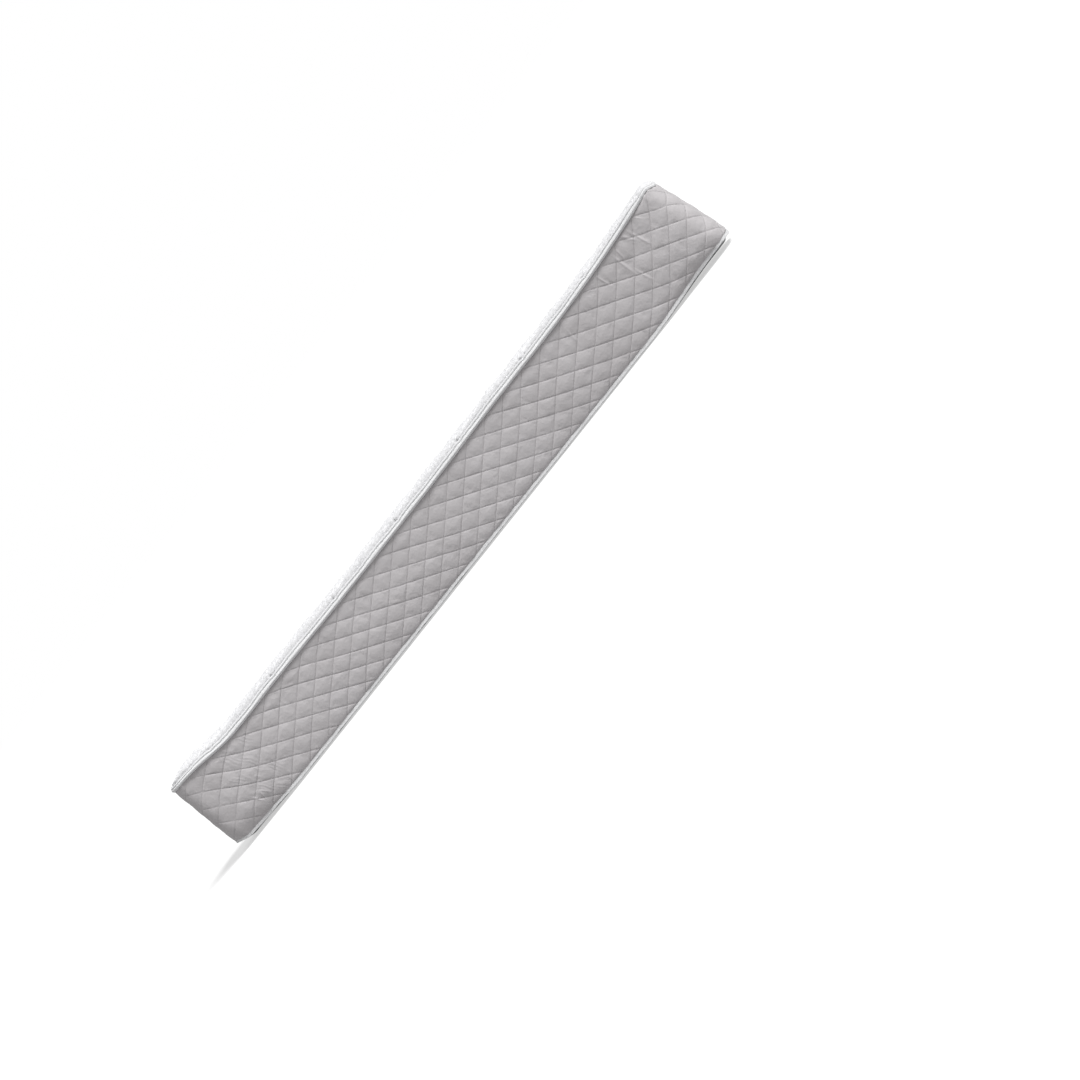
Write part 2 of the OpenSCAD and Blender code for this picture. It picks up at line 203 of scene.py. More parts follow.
def bottom_seam(x):
    """Height of the bottom seam, which sinks a little towards the right and lifts near the ends, more at
    the right one."""
    lifts = 0.0142 * eased((x - 0.68) / 0.26) + 0.0075 * eased((-x - 0.70) / 0.26)
    return BOTTOM_SEAM_Z - 0.0022 * eased((x + 0.1) / 0.6) + lifts


def wrap(s, n):
    """x and y of a point n outside the stitched outline, s along it from the middle of the front: a
    straight front, a quarter circle, a straight end, a quarter circle, and the back. Also gives the x at
    which the seams are read."""
    a, side = np.abs(s), np.where(s < 0, -1.0, 1.0)
    turn = sum(np.clip((a - start) / CORNER, 0, math.pi / 2) for start in (FRONT_END, END_END))
    cx = np.minimum(a, HALF_X) - np.clip(a - BACK_START, 0, None)
    cy = -HALF_Y + np.clip(a - END_START, 0, 2 * HALF_Y)
    return side * (cx + (CORNER + n) * np.sin(turn)), cy - (CORNER + n) * np.cos(turn), side * cx


print("once round the bar %.3f m" % (2 * HALF_ROUND))

# %% [markdown]
# ## Bend and wander
# Soft foam doesn't lie straight: the ends lift, lean and narrow, and no sewn line is quite even. A lattice
# modifier could bend the finished pieces, but one function for all of them keeps neighbours together, and a
# seeded sum of cosines wanders the same way on every run.

# %% Bend and wander
ZIP_Z = 0.110


def bent(points):
    """Leans the bar's cross sections as its axis lifts towards the ends: a shift along x that grows with
    the height over the zip and with the square of the distance from the middle, and is a little more at the
    right end and less at the left. The lower left corner, which hangs free, is also drawn up, the upper
    right one is rounded down, and both ends narrow towards the floor."""
    x, y, z = points[..., 0], points[..., 1], points[..., 2]
    lean = 0.060 * np.sign(x) * np.minimum(np.abs(x) / HALF_X, 1) ** 2
    lean = lean + 0.035 * eased((x - 0.9) / 0.1) + 0.027 * eased((-x - 0.9) / 0.1)
    drawn = 0.014 * eased((-x - 0.945) / 0.055) * (1 - eased(z / 0.15))
    shoulder = 0.004 * eased((x - 0.945) / 0.035) - 0.012 * np.clip((x - 0.972) / 0.028, 0, 1) ** 2
    drawn = drawn + shoulder * eased((z - 0.10) / 0.12)
    near_end = eased((x - 0.74) / 0.18) + eased((-x - 0.76) / 0.18)
    narrow = 0.11 * near_end * (1 - eased((z - 0.004) / 0.06))
    return np.stack([x - lean * (z - ZIP_Z), y * (1 - narrow), z + drawn], -1)


def drift(u, wave, seed, count=5):
    """Smooth seeded wandering between about -1 and 1 along u: a sum of cosines whose lengths lie round one
    wave."""
    rng = np.random.default_rng(seed)
    total = np.zeros_like(u, dtype=float)
    for k in range(count):
        total += np.cos(2 * math.pi * u / (wave * rng.uniform(0.6, 1.6)) + rng.uniform(0, 6.28))
    return total / count ** 0.5 / 1.2


# %% [markdown]
# ## Making meshes from grids
# A cloth is a grid of points, and a padded piece is two grids with a rim between them. A Solidify modifier
# could give the thickness, but here both sides have their own shape. These helpers number the faces of
# whole grids at once and hand them to Blender with from_pydata, so no loop visits a vertex.

# %% Faces of grids
def numbered(ni, nj, start=0):
    """The point numbers of a grid of ni by nj points, counted from start."""
    return start + np.arange(ni * nj).reshape(ni, nj)


def grid_faces(ni, nj, start=0, turned=False):
    """Faces of a grid of ni by nj points numbered from start; turned makes them face the other way."""
    k = numbered(ni, nj, start)
    faces = np.stack([k[:-1, :-1], k[1:, :-1], k[1:, 1:], k[:-1, 1:]], -1).reshape(-1, 4)
    return faces[:, ::-1] if turned else faces


def rim(ni, nj, start):
    """Point numbers once round the edge of a grid."""
    k = numbered(ni, nj, start)
    return np.concatenate([k[:, 0], k[-1, 1:], k[-2::-1, -1], k[0, -2:0:-1]])


def ring_faces(ni, nj):
    """Faces of a grid that closes on itself both ways, as a ring of closed sections does."""
    k = numbered(ni, nj)
    right_k, up_k = np.roll(k, -1, 0), np.roll(k, -1, 1)
    return np.stack([k, right_k, np.roll(right_k, -1, 1), up_k], -1).reshape(-1, 4)


def closed(outer, inner, start=0):
    """Points and faces of a closed form between two grids of the same size, outer facing out: both grids,
    and a rim of faces between their edges. Its points are numbered from start."""
    ni, nj = outer.shape[:2]
    edge_out, edge_in = rim(ni, nj, start), rim(ni, nj, start + ni * nj)
    sides = np.stack([edge_out, edge_in, np.roll(edge_in, -1), np.roll(edge_out, -1)], -1)
    faces = [grid_faces(ni, nj, start), grid_faces(ni, nj, start + ni * nj, True), sides]
    return np.concatenate([outer.reshape(-1, 3), inner.reshape(-1, 3)]), np.concatenate(faces)


# %% Pieces
def piece(name, points, faces, uvs, material, slot, *nodes):
    """Puts points and faces in a mesh, with a UV map for each named pair of numbers a point, and sets it on
    the cover."""
    mesh = bpy.data.meshes.new(name)
    mesh.from_pydata(points.reshape(-1, 3).tolist(), [], faces.tolist())
    corners = np.empty(len(mesh.loops), np.int32)
    mesh.loops.foreach_get("vertex_index", corners)
    for label, uv in uvs.items():
        layer = mesh.uv_layers.new(name=label)
        layer.data.foreach_set("uv", uv.reshape(-1, 2)[corners].astype(np.float32).ravel())
    mesh.polygons.foreach_set("use_smooth", np.ones(len(mesh.polygons), bool))
    mesh.materials.append(material)
    obj = bpy.data.objects.new(name, mesh)
    scene.collection.objects.link(obj)
    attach(obj, "cover")
    if nodes:
        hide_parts(*nodes)
    print("%s: %d faces" % (name, len(mesh.polygons)))
    return obj


def slab(name, outer, inner, uvs, material, slot, *nodes):
    """A closed piece between two grids, with the same maps on both of them."""
    both = {label: np.concatenate([uv.reshape(-1, 2)] * 2) for label, uv in uvs.items()}
    return piece(name, *closed(outer, inner), both, material, slot, *nodes)


# %% [markdown]
# ## Cloth finishes
# The border is a matt polyester weave in pale grey, the top a short white pile, and the tape a ribbed white
# weave. All of them are one kind of material: two near colours mixed by noise, some sheen, and a bump. The
# bump could come from an image of threads, but a formula stays sharp at any distance.

# %% A cloth finish
def along_across(tree, label):
    """The two numbers of a named map, as sockets."""
    uv = tree.nodes.new("ShaderNodeUVMap")
    uv.uv_map = label
    parts = joined(tree, "ShaderNodeSeparateXYZ", s0=uv.outputs[0])
    return parts.outputs[0], parts.outputs[1]


def ranged(tree, value, low, high, first=0.0, last=1.0):
    """A number moved from between low and high to between first and last, and held there."""
    return joined(tree, "ShaderNodeMapRange", s0=value, s1=low, s2=high, s3=first, s4=last).outputs[0]


def speckle(tree, scale, detail=3.0):
    """Noise in the object's own metres."""
    where = tree.nodes.new("ShaderNodeTexCoord").outputs["Object"]
    return joined(tree, "ShaderNodeTexNoise", Vector=where, Scale=scale, Detail=detail).outputs[0]


def blend_colours(tree, share, first, second):
    """A colour between two, by a share; noise keeps near a half, so 0.3 already gives the first and 0.7 the
    second."""
    ramp = tree.nodes.new("ShaderNodeValToRGB")
    for element, position, colour in zip(ramp.color_ramp.elements, (0.3, 0.7), (first, second)):
        element.position = position
        element.color = (*colour, 1)
    tree.links.new(share, ramp.inputs[0])
    return ramp.outputs[0]


def cloth_finish(name, first, second, roughness, sheen, height, depth, tint_scale=9.0, shade=None):
    """A matt material between two near colours, whose bump takes the socket that height(tree) makes; where
    shade(tree) is given, the colour is multiplied by it."""
    made = bpy.data.materials.new(name)
    made.use_nodes = True
    tree = made.node_tree
    shader = tree.nodes["Principled BSDF"]
    shader.inputs["Roughness"].default_value = roughness
    shader.inputs["Sheen Weight"].default_value = sheen
    shader.inputs["Sheen Roughness"].default_value = 0.5
    shader.inputs["Specular IOR Level"].default_value = 0.25
    colour = blend_colours(tree, speckle(tree, tint_scale), first, second)
    if shade:
        colour = joined(tree, "ShaderNodeVectorMath", "SCALE", s0=colour, Scale=shade(tree)).outputs[0]
    tree.links.new(colour, shader.inputs["Base Color"])
    bump = joined(tree, "ShaderNodeBump", Strength=1.0, Distance=depth, Height=height(tree))
    tree.links.new(bump.outputs[0], shader.inputs["Normal"])
    return made


# %% [markdown]
# ## Weave and thread
# Close up, the cloth shows its threads, and the quilting shows the sewing thread that lies in each groove.
# Both could be modelled as thin tubes, but there are far too many. A sine along each thread direction makes
# the weave, and the distance to a quilting line, read from the piece's own map, draws the thread.

# %% Weave and thread
def weave(tree, label, thread):
    """Height of a plain weave: the product of a sine along the cloth and a sine across it."""
    turns = 2 * math.pi / thread
    waves = [maths(tree, "SINE", maths(tree, "MULTIPLY", way, turns)) for way in along_across(tree, label)]
    return maths(tree, "MULTIPLY", *waves)


def from_line(tree, value):
    """Distance of a number from the nearest whole number."""
    shifted = maths(tree, "FRACT", maths(tree, "ADD", value, 0.5))
    return maths(tree, "ABSOLUTE", maths(tree, "SUBTRACT", shifted, 0.5))


def thread_line(tree, across, along, spacing, stitch, width=0.00045):
    """1 on the stitches of the lines where across is whole: spacing is the metres between two lines, and
    stitch the stitches for each unit of along. The thread dives between two stitches."""
    near = maths(tree, "LESS_THAN", maths(tree, "MULTIPLY", from_line(tree, across), spacing), width)
    up_part = maths(tree, "LESS_THAN", from_line(tree, maths(tree, "MULTIPLY", along, stitch)), 0.40)
    return maths(tree, "MULTIPLY", near, up_part)


def thread_lines(tree, spacing, stitch):
    """1 on the stitches of both families of quilting lines, and 0 beside them."""
    a, b = along_across(tree, "lattice")
    families = [thread_line(tree, *pair, spacing, stitch) for pair in ((a, b), (b, a))]
    return maths(tree, "MAXIMUM", *families)


def quilted_height(spacing, stitch, thread, wrinkles=None):
    """Height of a quilted weave: the weave, a little fuzz, faint puckers, the sewing thread on both
    families of lines, and whatever wrinkles(tree) adds."""
    def height(tree):
        """The sum of all these heights, as a socket."""
        sewn = maths(tree, "MULTIPLY", thread_lines(tree, spacing, stitch), 2.0)
        threads = maths(tree, "MULTIPLY", weave(tree, "metres", thread), 0.4)
        fuzz = maths(tree, "MULTIPLY", speckle(tree, 900.0, 2.0), 0.8)
        puckers = maths(tree, "MULTIPLY", speckle(tree, 150.0, 2.0), 7.0)
        cloth = maths(tree, "ADD", threads, maths(tree, "ADD", fuzz, puckers), sewn)
        return maths(tree, "ADD", cloth, wrinkles(tree)) if wrinkles else cloth
    return height


# %% [markdown]
# ## Folds and gathers
# The border has a few single folds, and near its left end rows of short slanting strokes where the cloth
# gathers. They could be sculpted, but a short list of places and a formula is easier to change. The mesh
# carries the shape of each, and the bump sharpens what the mesh can't hold, from the same numbers.

# %% Folds and gathers
FOLDS = ((0.777, 0.155, 0.060, 2, 4.6), (0.787, 0.103, 0.040, -6, 4.0), (0.836, 0.181, 0.040, -25, 4.6),
         (0.855, 0.155, 0.050, -8, 4.6), (0.715, 0.173, 0.046, -5, 3.6), (0.891, 0.187, 0.024, -30, 3.4),
         (0.793, 0.175, 0.030, 14, 3.4), (0.567, 0.152, 0.034, 10, 3.6), (-0.862, 0.038, 0.028, -30, 3.2),
         (-0.846, 0.033, 0.024, 12, 3.0), (-0.834, 0.040, 0.026, -35, 3.2))
FOLD_DEPTH, RIDGE_HALF, RIDGE_BUMP = 0.00030, 0.0008, 3.0
GATHER_S, GATHER_REACH, GATHER_TURNS = -0.805, 0.085, 2 * math.pi / 0.0125
ACROSS, BENDS, PATCHES = (0.9, 0.42), ((95, 60, 2.2), (41, -110, 1.6)), ((75, 33), (-20, 90))
PATCH_GAIN, GATHER_DEPTH, GATHER_BUMP = 1.4, 0.0002, 1.8


def folded(s, t):
    """A few single folds: each is a ridge beside a valley along a short line, fading at its ends. A fold is
    given by the place of its middle, its length, its tilt from upright in degrees, and its width in mm."""
    total = np.zeros_like(s)
    for s0, t0, length, tilt, width in FOLDS:
        turn = math.radians(tilt)
        along = (t - t0) * math.cos(turn) + (s - s0) * math.sin(turn)
        across = ((s - s0) * math.cos(turn) - (t - t0) * math.sin(turn)) / (0.001 * width)
        total -= FOLD_DEPTH * width * np.exp(-(2 * along / length) ** 4) * across * np.exp(-across ** 2 / 2)
    return total


def fold_ridges(tree):
    """The same folds for the bump: for each, a long narrow bell-shaped ridge."""
    uv = tree.nodes.new("ShaderNodeUVMap")
    uv.uv_map = "metres"
    total = 0.0
    for s0, t0, length, tilt, width in FOLDS:
        local = joined(tree, "ShaderNodeMapping", s0=uv.outputs[0], Location=(s0, t0, 0),
                       Rotation=(0, 0, -math.radians(tilt)), Scale=(RIDGE_HALF * width, length / 2, 1))
        local.vector_type = "TEXTURE"
        here = local.outputs[0]
        far = joined(tree, "ShaderNodeVectorMath", "DOT_PRODUCT", s0=here, s1=here).outputs["Value"]
        ridge = maths(tree, "MULTIPLY", maths(tree, "POWER", math.exp(-1), far), RIDGE_BUMP * width)
        total = maths(tree, "ADD", ridge, total)
    return total


def gathered(s, t):
    """The rows of strokes near the left end, from -1 to 1: a sine across them, bent by two slow sines,
    shown in patches where the product of two more is high, and fading with the square of the distance from
    their middle."""
    phase = GATHER_TURNS * (ACROSS[0] * s + ACROSS[1] * t)
    phase = phase + sum(k * np.sin(a * s + b * t) for a, b, k in BENDS)
    shown = np.prod([np.sin(a * s + b * t) for a, b in PATCHES], 0)
    near = np.maximum(1 - ((s - GATHER_S) / GATHER_REACH) ** 2, 0)
    return np.sin(phase) * near * np.clip(0.5 + PATCH_GAIN * shown, 0, 1)


def gathers(tree):
    """The same strokes as a socket, for the bump."""
    u, v = along_across(tree, "metres")

    def line(a, b):
        """The way along times a, plus the way across times b."""
        return maths(tree, "ADD", maths(tree, "MULTIPLY", u, a), maths(tree, "MULTIPLY", v, b))

    phase = line(GATHER_TURNS * ACROSS[0], GATHER_TURNS * ACROSS[1])
    for a, b, k in BENDS:
        phase = maths(tree, "ADD", phase, maths(tree, "MULTIPLY", maths(tree, "SINE", line(a, b)), k))
    waves = [maths(tree, "SINE", line(a, b)) for a, b in PATCHES]
    shown = ranged(tree, maths(tree, "MULTIPLY", *waves), -0.5 / PATCH_GAIN, 0.5 / PATCH_GAIN)
    off = maths(tree, "DIVIDE", maths(tree, "SUBTRACT", u, GATHER_S), GATHER_REACH)
    near = maths(tree, "MAXIMUM", maths(tree, "SUBTRACT", 1.0, maths(tree, "MULTIPLY", off, off)), 0.0)
    strokes = maths(tree, "MULTIPLY", maths(tree, "SINE", phase), GATHER_BUMP)
    return maths(tree, "MULTIPLY", strokes, maths(tree, "MULTIPLY", near, shown))


# %% [markdown]
# ## Quilting by simulation
# A quilted cloth is sewn to its backing along crossing lines, and the wadding pushes it up between them. We
# could move points with a formula alone, but real cloth has some spare length that gathers beside the
# stitches. So the formula only gives the start, a field of low pillows, and Blender's cloth then settles
# it: points on the sewn lines are pinned, a pressure stands for the wadding, and the cloth is a little
# larger than its place.

# %% Settle a quilted sheet
MOST_MOVED = 0.006


def settle(flat, sewn, spare, push, bend, frames):
    """Runs cloth on a grid of points that lies flat in x and y, with its sewn points held, and gives back
    its points, none of them moved further than MOST_MOVED along an axis."""
    ni, nj = flat.shape[:2]
    mesh = bpy.data.meshes.new("settling")
    mesh.from_pydata(flat.reshape(-1, 3).tolist(), [], grid_faces(ni, nj).tolist())
    obj = bpy.data.objects.new("settling", mesh)
    scene.collection.objects.link(obj)
    obj.vertex_groups.new(name="sewn").add(np.flatnonzero(sewn).tolist(), 1.0, "REPLACE")
    cloth = obj.modifiers.new("cloth", "CLOTH")
    made = cloth.settings
    made.vertex_group_mass, made.mass, made.quality = "sewn", 0.15, 4
    made.tension_stiffness = made.compression_stiffness = 15
    made.shear_stiffness, made.bending_stiffness = 7.5, bend
    made.use_pressure, made.uniform_pressure_force = True, push
    made.shrink_min = -spare
    made.effector_weights.gravity = 0
    cloth.collision_settings.use_collision = False
    cloth.point_cache.frame_start, cloth.point_cache.frame_end = 1, frames
    for f in range(1, frames + 1):
        scene.frame_set(f)
    shown = obj.evaluated_get(bpy.context.evaluated_depsgraph_get()).data
    points = np.empty(len(shown.vertices) * 3, np.float32)
    shown.vertices.foreach_get("co", points)
    bpy.data.objects.remove(obj)
    bpy.data.meshes.remove(mesh)
    scene.frame_set(1)
    points = points.reshape(ni, nj, 3).astype(float)
    moved = np.clip(points - flat, -MOST_MOVED, MOST_MOVED)
    print("settled %d points, moved up to %.1f mm" % (ni * nj, 1000 * np.abs(moved).max()))
    return flat + moved


# %% [markdown]
# ## The diamond lattice
# The quilting lines run in two slanting families and enclose diamonds. A grid whose rows meet every
# crossing keeps the grooves sharp with few points, so we choose the grid from the lattice and not the other
# way round.

# %% Lattice and pillows
DIAMOND_L, DIAMOND_H = 0.0762, 0.0513
HALF_CELL = 10
DRAWN_TO_LINES = 0.095
FILLINGS = 211


def steps(low, high, zero, step):
    """Places from low to high on a lattice of that step through zero, with both ends added; and their step
    numbers."""
    first, last = math.ceil((low - zero) / step + 0.3), math.floor((high - zero) / step - 0.3)
    k = np.arange(first, last + 1)
    return np.concatenate([[low], zero + k * step, [high]]), np.concatenate([[first - 1], k, [last + 1]])


def lattice_of(s, t):
    """The two numbers that are whole on the two families of quilting lines, which cross at s = t = 0."""
    return s / DIAMOND_L + t / DIAMOND_H, s / DIAMOND_L - t / DIAMOND_H


def sewn_points(i, j, cell):
    """Which points of a grid are held, from their step numbers: those on either family of lines, cell steps
    apart, and all the edges."""
    sewn = ((i - j) % cell == 0) | ((i + j) % cell == 0)
    sewn[0], sewn[-1], sewn[:, 0], sewn[:, -1] = True, True, True, True
    return sewn


def quilt(low_s, high_s, height, zero_s, zero_t, puff, seed, spare=0.005, push=1.0, bend=2.0, frames=10):
    """A quilted strip in its own flat space: s along, t across and n outwards, with its lattice map and
    metres map. Rows of points are drawn towards the lines by a sine, so that the grooves are crisp. Pillows
    start from the product of a sine across each family of lines: to a low power it gives a short steep wall
    beside the thread, and to a higher one a gentle dome. Each diamond has its own share of filling, and the
    edges are held low."""
    def from_edge(s, t):
        """Distance to the nearest edge of the strip."""
        return np.minimum(np.minimum(t, height - t), np.minimum(s - low_s, high_s - s))

    s, si = steps(low_s, high_s, zero_s, DIAMOND_L / 2 / HALF_CELL)
    t, ti = steps(0.0, height, zero_t, DIAMOND_H / 2 / HALF_CELL)
    S, T = np.meshgrid(s, t, indexing="ij")
    held = np.clip(from_edge(S, T) / 0.006, 0, 1)
    numbers = lattice_of(S - zero_s, T - zero_t)
    to_a, to_b = (-DRAWN_TO_LINES * np.sin(2 * math.pi * k) * held for k in numbers)
    S, T = S + DIAMOND_L * (to_a + to_b) / 2, T + DIAMOND_H * (to_a - to_b) / 2
    a, b = lattice_of(S - zero_s, T - zero_t)
    rng = np.random.default_rng(seed)
    shares = rng.uniform(0.8, 1.15, (FILLINGS, FILLINGS))
    filling = shares[np.floor(a).astype(int) % FILLINGS, np.floor(b).astype(int) % FILLINGS]
    product = np.abs(np.sin(math.pi * a) * np.sin(math.pi * b))
    pillow = 0.85 * product ** 0.2 + 0.15 * product ** 0.9
    pillow *= filling * np.clip(0.4 + from_edge(S, T) / 0.009, 0.4, 1)
    n = puff * pillow + 0.00012 * rng.standard_normal(S.shape) * (pillow > 0.2)
    sewn = sewn_points(*np.meshgrid(si, ti, indexing="ij"), 2 * HALF_CELL)
    n[sewn] = 0
    start = np.stack([S, T, n], -1)
    moved = settle(start, sewn, spare, push, bend, frames) - start
    return start + moved * eased(product / 0.5)[..., None], np.stack([a, b], -1), np.stack([S, T], -1)


# %% [markdown]
# ## The border
# The border is one quilted strip that starts at a back corner and runs over an end, the front and the other
# end. It could be quilted in place, but a flat strip is simpler to simulate. It is then wrapped: along
# becomes the way round the outline, across becomes height between the two seams, and the third number
# stands out from the bar. Thin creases are added where the seams gather the cloth.

# %% Border finish
LINE_GAP = DIAMOND_L * DIAMOND_H / math.hypot(DIAMOND_L, DIAMOND_H)
STITCH_PITCH = 0.0036
STITCHES = round(0.5 * math.hypot(DIAMOND_L, DIAMOND_H) / STITCH_PITCH)
GREYS = (0.555, 0.533, 0.541), (0.615, 0.593, 0.603)
BORDER_THREAD, BORDER_LOOK = 0.0007, {"roughness": 0.85, "sheen": 0.15, "depth": 0.00012}


def border_wrinkles(tree):
    """The bump of the border's folds and gathers together."""
    return maths(tree, "ADD", fold_ridges(tree), gathers(tree))


border_height = quilted_height(LINE_GAP, STITCHES, BORDER_THREAD, border_wrinkles)
back_height = quilted_height(LINE_GAP, STITCHES, BORDER_THREAD)
border_weave = cloth_finish("quilted_polyester", *GREYS, height=border_height, **BORDER_LOOK)
back_weave = cloth_finish("quilted_polyester_back", *GREYS, height=back_height, **BORDER_LOOK)
print("quilting lines %.1f mm apart" % (1000 * LINE_GAP))

# %% Border shape
CLOTH = 0.001
SEAM_GAP, TOP_EDGE, BOTTOM_EDGE = 0.2095, 0.0064, 0.0061
BORDER_H = SEAM_GAP - TOP_EDGE - BOTTOM_EDGE
FIRST_CROSSING, PUFF = (-0.6775, 0.0169), 0.0034
FEED = 0.014


def creases(s, t, height):
    """Fine folds that hang from the top seam and stand on the bottom one, stronger near both ends of the
    bar."""
    near_end = np.clip((np.abs(s) - 0.55) / 0.35, 0, 1)
    hang, stand = np.exp(-(height - t) / 0.035), np.exp(-t / 0.025)
    folds = drift(s + 0.25 * (height - t), 0.016, 21) * hang * (0.25 + 0.75 * near_end)
    folds += 0.7 * drift(s - 0.3 * t, 0.018, 22) * stand * (0.2 + 0.5 * near_end)
    return 0.0007 * folds


def bulge(t, height):
    """The filling's push on the whole strip: none under the top seam, slow below it, and less again at the
    bottom one."""
    push = 0.0055 * (1 - 0.65 * np.exp(-t / 0.013)) * eased((height - t - 0.025) / 0.1)
    return push - 0.0006 * np.exp(-(height - t) / 0.01)


def border_point(s, t, n):
    """Wraps a flat border point round the bar: t is a share of the height between the two tapes."""
    x, y, cx = wrap(s, n)
    low, high = bottom_seam(cx) + BOTTOM_EDGE, top_seam(cx) - TOP_EDGE
    return bent(np.stack([x, y, low + (high - low) * t / BORDER_H], -1))


def fed(s):
    """Where the strip's flat length lies on the bar: towards the right it is pulled longer, by FEED in
    all."""
    return s + FEED * eased((s - 0.42) / 0.36)


def sagged(s, t):
    """How far the quilting rows lie over their even places: a little at the left, below them at the
    right."""
    rise = 0.003 * eased((-s - 0.3) / 0.2) - 0.001 * eased((s + 0.2) / 0.2) - 0.0035 * eased((s - 0.45) / 0.4)
    return rise * eased(t / 0.045) * eased((BORDER_H - t) / 0.045)


# %% Border cloth
sheet, lattice, metres = quilt(-BACK_START, BACK_START - FEED, BORDER_H, *FIRST_CROSSING, PUFF, seed=11)
flat_s, flat_t = metres[..., 0], metres[..., 1]
S, T, N = fed(sheet[..., 0]), sheet[..., 1], sheet[..., 2]
S = S + 0.0012 * drift(S + 0.6 * T, 0.31, 31) * (np.abs(S) < BACK_START - 0.001)
T = T + 0.0012 * drift(S, 0.27, 32) * np.sin(math.pi * T / BORDER_H) + sagged(S, T)
N = N * (1 - 0.5 * eased((-S - 0.89) / 0.05)) * (0.55 + 0.45 * eased((BORDER_H - T) / 0.03))
N = N + creases(S, T, BORDER_H) + folded(flat_s, flat_t) + GATHER_DEPTH * gathered(flat_s, flat_t)
N = N + bulge(T, BORDER_H) * (1 - 0.8 * eased((np.abs(S) - 0.91) / 0.07))
border = slab("border_cover", border_point(S, T, N), border_point(S, T, N - CLOTH),
              {"lattice": lattice, "metres": metres}, border_weave, "border_fabric", "border_cloth")

# %% [markdown]
# ## Wadding and lining
# Under each quilted cloth lie a layer of soft fibre and a thin backing cloth. They are hidden, but they are
# real layers of the cover. The wadding could copy the cloth's shape, but then it would show wherever the
# two grids differ. So it keeps just below: each of its points takes the lowest of the cloth points round
# it. The lining is plain and thin, against the foam.

# %% Wadding and lining
PAD_BELOW_CLOTH, PAD_TOP, PAD_FOOT = 0.0014, 0.0024, 0.0029
LINING_OUT, LINING_IN = 0.003, 0.0035
fibre = cloth_finish("fibre_wadding", (0.80, 0.80, 0.78), (0.88, 0.88, 0.87),
                     roughness=0.95, sheen=0.3, depth=0.0008,
                     height=lambda tree: speckle(tree, 260.0, 6.0))
backing = cloth_finish("bonded_backing", (0.72, 0.72, 0.71), (0.80, 0.80, 0.79),
                       roughness=0.9, sheen=0.05, depth=0.00008,
                       height=lambda tree: weave(tree, "metres", 0.0016))


def thinned(grid):
    """Every second row and column of a grid, with the last ones kept."""
    keep = [np.unique(np.append(np.arange(0, size, 2), size - 1)) for size in grid.shape[:2]]
    return grid[np.ix_(*keep)]


def lowest_round(n):
    """Every second point of a grid and its last, each with the lowest value of its five by five
    neighbours."""
    wide = np.pad(n, 2, mode="edge")
    return thinned(np.min([wide[i:i + n.shape[0], j:j + n.shape[1]] for i in range(5) for j in range(5)], 0))


def layers(name, place, s, t, n):
    """The wadding between a cloth and PAD_FOOT under its seams, and the lining below, both set out by
    place(s, t, n)."""
    s, t, low = thinned(s), thinned(t), lowest_round(n)
    pad_top = np.maximum(low - PAD_BELOW_CLOTH, -PAD_TOP)
    pad = slab(name + "_fill", place(s, t, pad_top), place(s, t, 0 * s - PAD_FOOT),
               {"metres": np.stack([s, t], -1)}, fibre, "wadding", name + "_wadding")
    s, t = thinned(thinned(s)), thinned(thinned(t))
    lining = slab(name + "_backing", place(s, t, 0 * s - LINING_OUT), place(s, t, 0 * s - LINING_IN),
                  {"metres": np.stack([s, t], -1)}, backing, "lining", name + "_lining")


layers("border", border_point, fed(flat_s), flat_t, N)

# %% [markdown]
# ## The back
# Behind, the cover is made of two strips with the zip between them. They could be cut from one cloth with a
# slot, but sewn covers have two. They are quilted as the border is, and placed on the flat back: the upper
# one from the slot to the top tape, the lower one from the bottom tape to the slot.

# %% Back strips
SLOT_LOW, SLOT_HIGH, BACK_Y = 0.1035, 0.1165, 0.08
STRIP_HALF = HALF_X - 0.0001


def back_place(low, high, height):
    """Sets out a flat strip on the back between two heights; along runs from +X to -X, so that the cloth
    faces out."""
    def place(s, t, n):
        """The point at a share of the way between the heights, n out from the back."""
        z = low(-s) + (high(-s) - low(-s)) * t / height
        return bent(np.stack([-s, BACK_Y + n, z], -1))
    return place


def back_strip(name, low, high, seed):
    """A quilted strip on the back between two heights, which are functions of x, with its two layers."""
    height = float(high(0.0) - low(0.0))
    place = back_place(low, high, height)
    sheet, lattice, metres = quilt(-STRIP_HALF, STRIP_HALF, height, *FIRST_CROSSING, PUFF, seed)
    s, t = sheet[..., 0], sheet[..., 1]
    n = sheet[..., 2] + creases(s, t, height)
    cover = slab(name + "_cover", place(s, t, n), place(s, t, n - CLOTH),
                 {"lattice": lattice, "metres": metres}, back_weave, "border_fabric", name + "_cloth")
    layers(name, place, metres[..., 0], metres[..., 1], n)


back_strip("back_upper", lambda x: SLOT_HIGH + 0 * x, lambda x: top_seam(x) - TOP_EDGE, seed=12)
back_strip("back_lower", lambda x: bottom_seam(x) + BOTTOM_EDGE, lambda x: SLOT_LOW + 0 * x, seed=13)

# %% [markdown]
# ## The top panel
# The top is a white pile cloth with a high crown. Its quilting is far larger than the border's: one diamond
# fills the width, so its edge is drawn in every quarter of a metre. Hair particles could make the pile, but
# at this distance it is only a rough, pressed surface. We settle the cloth on a coarse grid, double that
# grid with a four-point rule, and roughen it a little, as the short pile does.

# %% Shape of the top
TOP_L, TOP_ZERO, TOP_INSET, TOP_W = 0.259, -0.586, 0.006, 0.074
TOP_REACH = HALF_X + (CORNER - TOP_INSET) * math.pi / 2
TUCK_STEP, TUCK_CURVE, TUCK_TILT, TUCK_WIDTH = 0.009, 0.006, 0.25, 0.004


